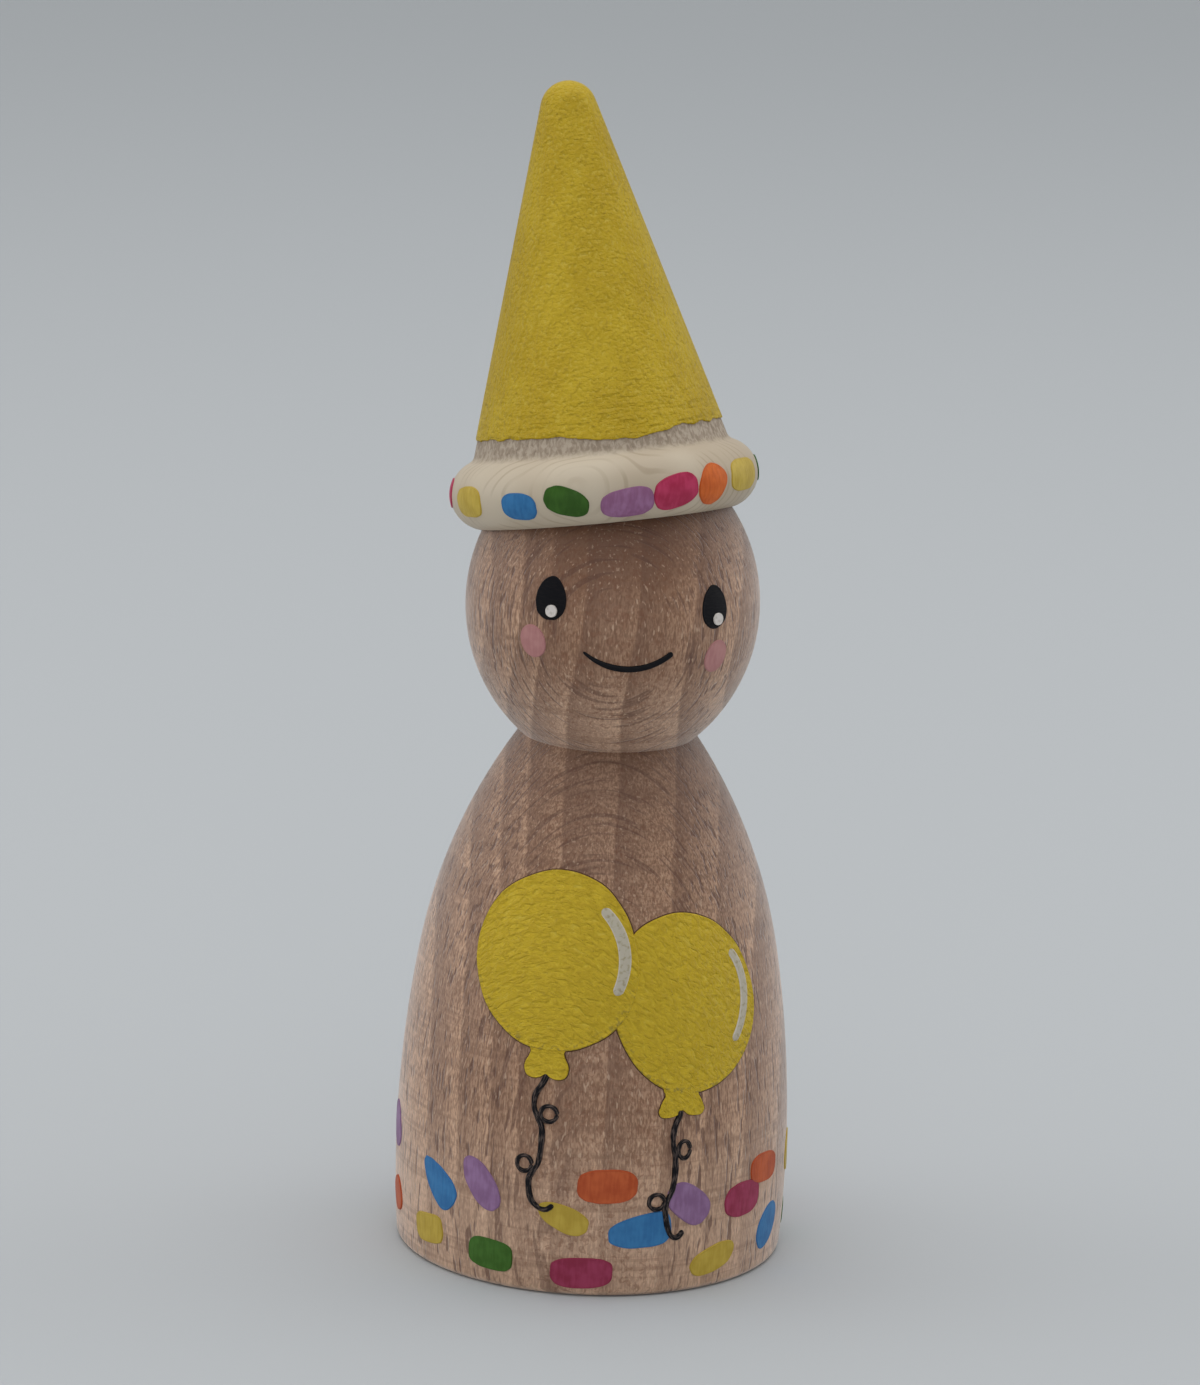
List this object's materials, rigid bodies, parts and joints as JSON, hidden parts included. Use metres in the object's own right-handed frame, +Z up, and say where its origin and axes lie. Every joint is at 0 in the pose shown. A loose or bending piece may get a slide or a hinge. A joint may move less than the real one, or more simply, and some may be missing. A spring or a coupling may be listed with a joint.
{
  "type": "peg doll",
  "caption": "Turned wooden peg doll with a bell-shaped body, a round head and a loose cone hat, hand-painted with balloons, confetti and a simple face.",
  "frame": {"origin": "centre of the flat base, on the surface that the doll stands on", "axes": "+Z up the figure's turning axis, -Y the way the face looks, +X to the right as seen from the front"},
  "size_m": [0.0303, 0.0304, 0.0886],
  "materials": {
    "beech": "bare, sanded, matt",
    "pale_wood": "bare, sanded, matt",
    "yellow_paint": "brushed acrylic paint, satin",
    "black_paint": "brushed acrylic paint, satin",
    "white_paint": "brushed acrylic paint, satin",
    "pink_paint": "brushed acrylic paint, satin",
    "blue_paint": "brushed acrylic paint, satin",
    "lilac_paint": "brushed acrylic paint, satin",
    "pale_yellow_paint": "brushed acrylic paint, satin",
    "green_paint": "brushed acrylic paint, satin",
    "magenta_paint": "brushed acrylic paint, satin",
    "orange_paint": "brushed acrylic paint, satin"
  },
  "bodies": {
    "figure": {"figure": "beech", "left_eye": "black_paint", "right_eye": "black_paint", "left_eye_glint": "white_paint", "right_eye_glint": "white_paint", "left_cheek": "pink_paint", "right_cheek": "pink_paint", "smile": "black_paint", "left_balloon": "yellow_paint", "right_balloon": "yellow_paint", "left_balloon_shine": "white_paint", "right_balloon_shine": "white_paint", "left_string": "black_paint", "right_string": "black_paint", "blue_body_confetti": "blue_paint", "lilac_body_confetti": "lilac_paint", "yellow_body_confetti": "pale_yellow_paint", "green_body_confetti": "green_paint", "magenta_body_confetti": "magenta_paint", "orange_body_confetti": "orange_paint"},
    "hat": {"hat": "pale_wood", "hat_coat": "yellow_paint", "blue_brim_confetti": "blue_paint", "lilac_brim_confetti": "lilac_paint", "yellow_brim_confetti": "pale_yellow_paint", "green_brim_confetti": "green_paint", "magenta_brim_confetti": "magenta_paint", "orange_brim_confetti": "orange_paint"}
  },
  "joints": [
    {"name": "hat_lift", "type": "slide", "parent": "figure", "child": "hat", "axis": [-0.1102, 0.1763, 0.9781], "range_m": [0, 0.03]}
  ]
}
